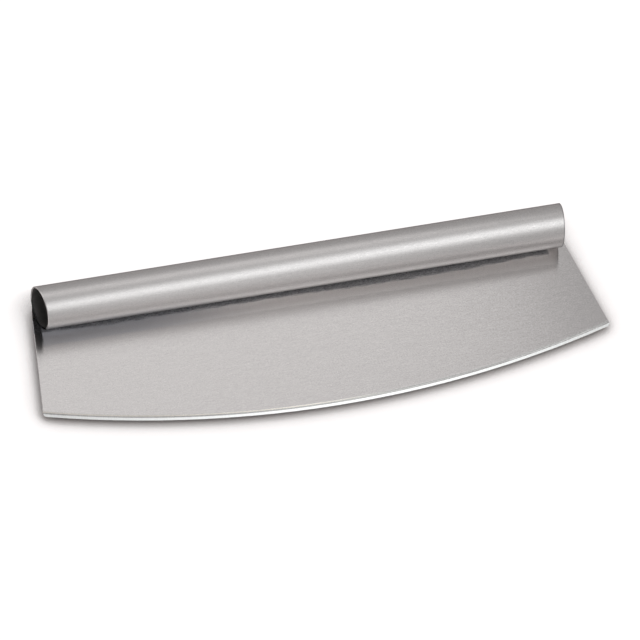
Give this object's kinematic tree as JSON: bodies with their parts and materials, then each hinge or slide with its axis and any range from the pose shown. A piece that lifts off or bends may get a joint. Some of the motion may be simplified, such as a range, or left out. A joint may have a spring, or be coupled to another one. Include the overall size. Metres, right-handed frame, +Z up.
{
  "type": "rocking pizza knife",
  "caption": "Steel rocking pizza knife: a sheet blade with a bowed cutting edge, its top margin curled round and welded to an open round tube that is the handle.",
  "frame": {"origin": "under the middle of the outline, on the surface that the knife's flat back lies on", "axes": "+X along the handle, +Y from the cutting edge towards the handle, +Z up out of the blade's face, on the side where the tube stands proud"},
  "size_m": [0.3492, 0.103, 0.0273],
  "materials": {
    "blade_steel": "satin, brushed along the length, with a bright ground cutting edge",
    "tube_steel": "satin, brushed along the length",
    "front_weld_steel": "brushed-down weld",
    "rear_weld_steel": "brushed-down weld"
  },
  "bodies": {
    "root": {"blade": "blade_steel", "handle_tube": "tube_steel", "front_weld_seam": "front_weld_steel", "rear_weld_seam": "rear_weld_steel"}
  },
  "joints": []
}
